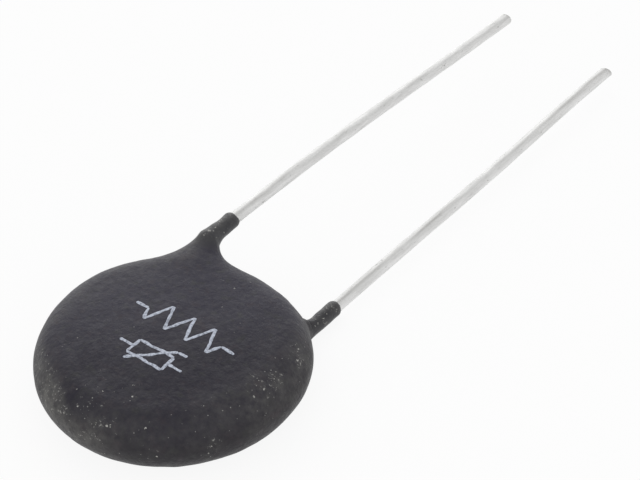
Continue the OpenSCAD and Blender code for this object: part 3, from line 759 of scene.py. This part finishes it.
def makeResin():
    # dark matte resin with clouds and painted shade towards one side and low on the rim, under a film of
    # dust that also paints a sheen on the rim, grit and loose specks
    material, tree, shader = newMaterial("dipped_resin")
    place = mmCoordinates(tree)
    height = addNode(tree, "ShaderNodeSeparateXYZ", {"Vector": place}).outputs["Z"]
    sleeve, dust, hazeAndSheen = (attribute(tree, name) for name in ("sleeve", "dust", "hazeAndSheen"))
    # clouds and a fine mottle in the resin, a little warm or olive in places
    cloud = ranged(tree, noise(tree, place, *resin["cloud"]), *resin["cloudSpan"])
    mottle = ranged(tree, noise(tree, place, *resin["mottle"]), *resin["mottleSpan"])
    shade = plus(tree, times(tree, cloud, resin["cloudShare"]), times(tree, mottle, resin["mottleShare"]))
    colour = mixColour(tree, shade, resin["face"], resin["faceLight"])
    # painted shade: the colour darkens towards one side of the face, broken up by the clouds, and lower down
    # on the rim
    towards = addNode(tree, "ShaderNodeVectorMath", {0: place, 1: coat["drainedTowards"] + (0.0,)},
                      operation="DOT_PRODUCT").outputs["Value"]
    drained = plus(tree, towards, times(tree, cloud, resin["drainedCloud"]))
    colour = mixColour(tree, ranged(tree, drained, *resin["drainedSpan"]), colour, resin["drained"])
    colour = mixColour(tree, ranged(tree, height, *resin["rimShadeSpan"]), colour, resin["lower"])
    hue = noise(tree, place, *resin["hue"])
    colour = mixColour(tree, ranged(tree, hue, *resin["warmSpan"]), colour, resin["warm"])
    colour = mixColour(tree, ranged(tree, hue, *resin["oliveSpan"]), colour, resin["olive"])
    colour = mixColour(tree, sleeve, colour, resin["sleeve"])
    # a thin film of dust and rubbed haze, which on the rim's edges is a painted sheen, then grit and loose
    # specks that gather where the dust is
    clump = ranged(tree, noise(tree, place, *resin["clump"]), *resin["clumpSpan"])
    laid = mathNode(tree, "MULTIPLY", dust, clump, clamp=True)
    rubbedAndSheen = times(tree, hazeAndSheen, ranged(tree, noise(tree, place, *resin["rub"]), *resin["rubSpan"]))
    film = plus(tree, times(tree, rubbedAndSheen, resin["filmRubbedAndSheen"]), times(tree, laid, resin["filmDust"]))
    colour = mixColour(tree, film, colour, resin["film"])
    grit = noise(tree, place, *resin["grit"])
    overLimit = mathNode(tree, "SUBTRACT", grit, ranged(tree, laid, *resin["scuffSpan"]))
    scuff = mathNode(tree, "MULTIPLY", overLimit, resin["scuffGain"], clamp=True)
    # one dot to a cell, which is there by chance, of a chance size and paleness
    cells = addNode(tree, "ShaderNodeTexVoronoi", {"Vector": place, "Scale": resin["dotsPerMm"]})
    chance = addNode(tree, "ShaderNodeSeparateColor", {"Color": cells.outputs["Color"]}).outputs
    present = mathNode(tree, "LESS_THAN", chance[0], laid)
    ragged = plus(tree, cells.outputs["Distance"], times(tree, grit, resin["dotRagged"]))
    dot = mathNode(tree, "LESS_THAN", ragged, ranged(tree, chance[1], *resin["dotSpan"]))
    dot = times(tree, times(tree, present, dot), ranged(tree, chance[2], *resin["dotPaleSpan"]))
    pale = mathNode(tree, "MAXIMUM", dot, times(tree, scuff, resin["scuffPale"]))
    # the single specks, with torn outlines; the stray is a half on average, so the centre moves with it
    tear = resin["tear"]
    stray = addNode(tree, "ShaderNodeTexNoise", {"Vector": place, "Scale": resin["tearScale"],
                                                 "Detail": resin["tearDetail"]}).outputs["Color"]
    torn = addNode(tree, "ShaderNodeVectorMath", {0: stray, 1: (tear, tear, tear), 2: place},
                   operation="MULTIPLY_ADD").outputs["Vector"]
    for centre, radius in specksOnSkin:
        away = addNode(tree, "ShaderNodeVectorMath", {0: torn, 1: (centre + tear / 2).tolist()},
                       operation="DISTANCE").outputs["Value"]
        pale = mathNode(tree, "MAXIMUM", pale, ranged(tree, away, radius, radius * resin["speckCore"]))
    colour = mixColour(tree, pale, colour, resin["dust"])
    tree.links.new(colour, shader.inputs["Base Color"])
    shader.inputs["Specular IOR Level"].default_value = resin["gloss"]
    shader.inputs["Sheen Weight"].default_value = resin["sheen"]
    shader.inputs["Sheen Roughness"].default_value = resin["sheenRoughness"]
    uneven = resin["mottleRoughness"]
    rough = ranged(tree, sleeve, 0, 1, resin["roughness"], resin["sleeveRoughness"])
    rough = plus(tree, rough, ranged(tree, mottle, 0, 1, -uneven, uneven))
    rough = mathNode(tree, "ADD", rough, times(tree, pale, resin["paleRoughness"]), clamp=True)
    tree.links.new(rough, shader.inputs["Roughness"])
    fine = bumped(tree, grit, *resin["gritBump"])
    lumpy = bumped(tree, noise(tree, place, *resin["lump"]), *resin["lumpBump"], fine)
    tree.links.new(bumped(tree, pale, *resin["paleBump"], lumpy), shader.inputs["Normal"])
    return material


tin = {
    # bright and dull tin, the colour of the painted shade line and the darker end, and the nicks
    "bright": (0.86, 0.86, 0.855, 1), "dull": (0.75, 0.75, 0.742, 1), "shadeLineAndDarkEnd": (0.46, 0.455, 0.44, 1),
    "nick": (0.42, 0.42, 0.41, 1),
    # units to the m across and along the wire, then scale, detail and roughness of the noise
    "streakUnits": (4500, 350), "streak": (1.0, 5.0, 0.65), "spot": (1.8, 4.0, 0.6),
    "patchUnits": (2500, 600), "patch": (1.0, 3.0, 0.55),
    "nickUnits": (4200, 2200), "nickNoise": (1.0, 3.0, 0.6),
    "dullSpan": (0.35, 0.7), "spotSpan": (0.56, 0.75, 0.0, 0.5), "patchSpan": (0.3, 0.6, 0.55, 1.0),
    "nickSpan": (0.64, 0.76, 0.0, 0.7), "roughSpan": (0.3, 0.7, 0.68, 0.82),
    "spotBump": (0.35, 0.00003), "streakBump": (0.3, 0.00001),
}


def makeTin():
    # pale tin with fine lines along the wire, duller in spots, with a painted shade line near its top and
    # darker at its end, and small nicks
    material, tree, shader = newMaterial("tinned_wire")
    lines = noise(tree, drawnOut(tree, *tin["streakUnits"]), *tin["streak"])
    spots = noise(tree, mmCoordinates(tree), *tin["spot"])
    colour = mixColour(tree, ranged(tree, lines, *tin["dullSpan"]), tin["bright"], tin["dull"])
    colour = mixColour(tree, ranged(tree, spots, *tin["spotSpan"]), colour, tin["dull"])
    # the painted shade line and the darker end, broken up in patches
    patchy = ranged(tree, noise(tree, drawnOut(tree, *tin["patchUnits"]), *tin["patch"]), *tin["patchSpan"])
    colour = mixColour(tree, times(tree, attribute(tree, "shadeLineAndDarkEnd"), patchy), colour, tin["shadeLineAndDarkEnd"])
    nicks = noise(tree, drawnOut(tree, *tin["nickUnits"]), *tin["nickNoise"])
    colour = mixColour(tree, ranged(tree, nicks, *tin["nickSpan"]), colour, tin["nick"])
    tree.links.new(colour, shader.inputs["Base Color"])
    shader.inputs["Metallic"].default_value = 1.0
    tree.links.new(ranged(tree, lines, *tin["roughSpan"]), shader.inputs["Roughness"])
    dented = bumped(tree, spots, *tin["spotBump"])
    tree.links.new(bumped(tree, lines, *tin["streakBump"], dented), shader.inputs["Normal"])
    return material


ink = {
    "full": (0.53, 0.57, 0.67, 1), "worn": (0.17, 0.185, 0.235, 1), "roughness": 0.6,
    "wear": (6.5, 4.0, 0.7), "wearSpan": (0.44, 0.66),
    "grain": (12.0, 2.0, 0.55), "grainBump": (0.3, 0.00001),
}


def makeInk():
    # pale ink, worn thin in small patches
    material, tree, shader = newMaterial("white_ink")
    place = mmCoordinates(tree)
    worn = ranged(tree, noise(tree, place, *ink["wear"]), *ink["wearSpan"])
    tree.links.new(mixColour(tree, worn, ink["full"], ink["worn"]), shader.inputs["Base Color"])
    shader.inputs["Roughness"].default_value = ink["roughness"]
    grainy = bumped(tree, noise(tree, place, *ink["grain"]), *ink["grainBump"])
    tree.links.new(grainy, shader.inputs["Normal"])
    return material


# the sealed pieces: colour, metallic and roughness of each finish, and the grain that breaks it up
hidden = {
    "ceramic": ((0.07, 0.07, 0.066, 1), 0.0, 0.8), "silver": ((0.7, 0.7, 0.69, 1), 1.0, 0.45),
    "solder": ((0.5, 0.5, 0.51, 1), 1.0, 0.3),
    "grain": (5.0, 4.0, 0.55), "darkShare": 0.75, "darkSpan": (0.35, 0.7),
    "roughSpan": (0.3, 0.7), "uneven": 0.08,
}


def makeHidden(name, colour, metallic, roughness):
    # a plain finish broken up by a fine grain
    material, tree, shader = newMaterial(name)
    grain = noise(tree, mmCoordinates(tree), *hidden["grain"])
    dark = tuple(hidden["darkShare"] * c for c in colour[:3]) + (1,)
    tree.links.new(mixColour(tree, ranged(tree, grain, *hidden["darkSpan"]), colour, dark),
                   shader.inputs["Base Color"])
    shader.inputs["Metallic"].default_value = metallic
    low, high = roughness - hidden["uneven"], roughness + hidden["uneven"]
    tree.links.new(ranged(tree, grain, *hidden["roughSpan"], low, high), shader.inputs["Roughness"])
    return material


def dress(piece, material):
    piece.data.materials.clear()
    piece.data.materials.append(material)


tinMaterial = makeTin()
dress(coatPiece, makeResin())
dress(markPiece, makeInk())
for piece in leadPieces:
    dress(piece, tinMaterial)
for slotName, nodes in (("ceramic", ["ceramic_disc"]), ("silver", ["electrode_top", "electrode_bottom"]),
                        ("solder", ["solder_top", "solder_bottom"])):
    material = makeHidden(slotName, *hidden[slotName])
    for node in nodes:
        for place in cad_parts[node].material_slots:
            place.material = material
print("materials made")

# floor, world and lamps

studio = {
    "floorHalf": 3.0, "floorDrop": 0.00002, "floorColour": (0.9, 0.9, 0.9, 1), "floorRoughness": 0.9,
    "floorWhite": 0.9, "worldColour": (1, 1, 1, 1), "worldStrength": 0.7,
    "wallRadius": 1.9, "wallHeight": 0.48, "wallPanels": 96, "wallWhite": 0.97,
    # lamps: name, place in m, size in m, power in W, aimed at the part
    "lamps": [("window", (-0.75, 0.75, 0.55), 1.2, 5.5), ("fill", (0.8, -0.8, 0.35), 1.2, 3.6)],
}


def shownRays(tree):
    # 1 for rays of the camera and for those that gloss and glass send, 0 for the rest
    rays = addNode(tree, "ShaderNodeLightPath").outputs
    seen = mathNode(tree, "MAXIMUM", rays["Is Camera Ray"], rays["Is Glossy Ray"])
    return mathNode(tree, "MAXIMUM", seen, rays["Is Transmission Ray"])


def mixShaders(tree, share, plain, white):
    mix = addNode(tree, "ShaderNodeMixShader", {0: share, 1: plain.outputs[0], 2: white.outputs[0]})
    tree.links.new(mix.outputs[0], tree.nodes["Material Output"].inputs["Surface"])


def makeFloor():
    # a plain pale square just under the part, which takes its shadow
    half, z = studio["floorHalf"], -studio["floorDrop"]
    corners = np.array([(-half, -half, z), (half, -half, z), (half, half, z), (-half, half, z)])
    floor = newObject("floor", corners, [(0, 1, 2, 3)])
    material, tree, shader = newMaterial("white_floor")
    shader.inputs["Base Color"].default_value = studio["floorColour"]
    shader.inputs["Roughness"].default_value = studio["floorRoughness"]
    shader.inputs["Specular IOR Level"].default_value = 0.0
    white = addNode(tree, "ShaderNodeEmission", {"Strength": 1.0})
    mixShaders(tree, times(tree, shownRays(tree), studio["floorWhite"]), shader, white)
    dress(floor, material)


def makeWall():
    # a low round wall far from the part, which shows white and lets the world's light through
    turn = 2 * math.pi * np.arange(studio["wallPanels"]) / studio["wallPanels"]
    ring = studio["wallRadius"] * np.stack([np.cos(turn), np.sin(turn)], -1)
    points = np.concatenate([onPlane(ring), onPlane(ring) + [0, 0, studio["wallHeight"]]])
    wall = newObject("wall", points, gridFaces(np.arange(len(points)).reshape(2, -1)).tolist())
    material, tree, shader = newMaterial("white_wall")
    tree.nodes.remove(shader)
    clear = addNode(tree, "ShaderNodeBsdfTransparent")
    white = addNode(tree, "ShaderNodeEmission", {"Strength": studio["wallWhite"]})
    mixShaders(tree, shownRays(tree), clear, white)
    dress(wall, material)


def makeWorld():
    world = bpy.data.worlds.new("studio")
    bpy.context.scene.world = world
    world.use_nodes = True
    background = world.node_tree.nodes["Background"]
    background.inputs["Color"].default_value = studio["worldColour"]
    background.inputs["Strength"].default_value = studio["worldStrength"]


def makeLamp(name, place, size, power):
    # a square lamp that faces the part
    data = bpy.data.lights.new(name, "AREA")
    data.shape, data.size, data.energy = "SQUARE", size, power
    lamp = bpy.data.objects.new(name, data)
    back = unit(np.array(place))
    level = unit(np.cross([0, 0, 1.0], back))
    turn = np.eye(4)
    turn[:3, :3] = np.stack([level, np.cross(back, level), back], 1)
    turn[:3, 3] = place
    lamp.matrix_world = Matrix(turn.tolist())
    bpy.context.scene.collection.objects.link(lamp)


makeFloor()
makeWall()
makeWorld()
for lamp in studio["lamps"]:
    makeLamp(*lamp)
bpy.context.scene.view_settings.view_transform = "Standard"
print("studio set")
